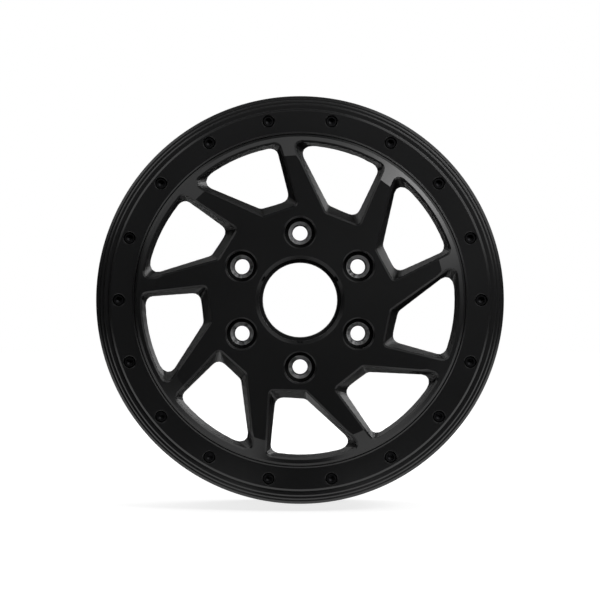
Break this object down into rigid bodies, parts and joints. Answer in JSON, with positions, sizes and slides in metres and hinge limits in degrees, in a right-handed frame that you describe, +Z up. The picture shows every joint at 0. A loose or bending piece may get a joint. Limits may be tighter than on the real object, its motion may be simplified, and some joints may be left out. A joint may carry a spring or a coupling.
{
  "type": "beadlock wheel",
  "caption": "Satin black alloy beadlock wheel for a light truck, with raked spokes, an open hub bore and a screwed-on outer clamp ring.",
  "frame": {"origin": "on the axle, at the mounting face that the vehicle's hub bears on", "axes": "+Y along the axle towards the vehicle, -Y out of the street side, +Z up, +X to the right seen from the street side"},
  "size_m": [0.4405, 0.2163, 0.4406],
  "materials": {
    "wheel_coat": "satin",
    "ring_coat": "satin",
    "screw_black": "satin",
    "insert_steel": "satin"
  },
  "bodies": {
    "root": {"wheel": "wheel_coat", "beadlock_ring": "ring_coat", "ring_screws": "screw_black", "thread_inserts": "insert_steel"}
  },
  "joints": []
}
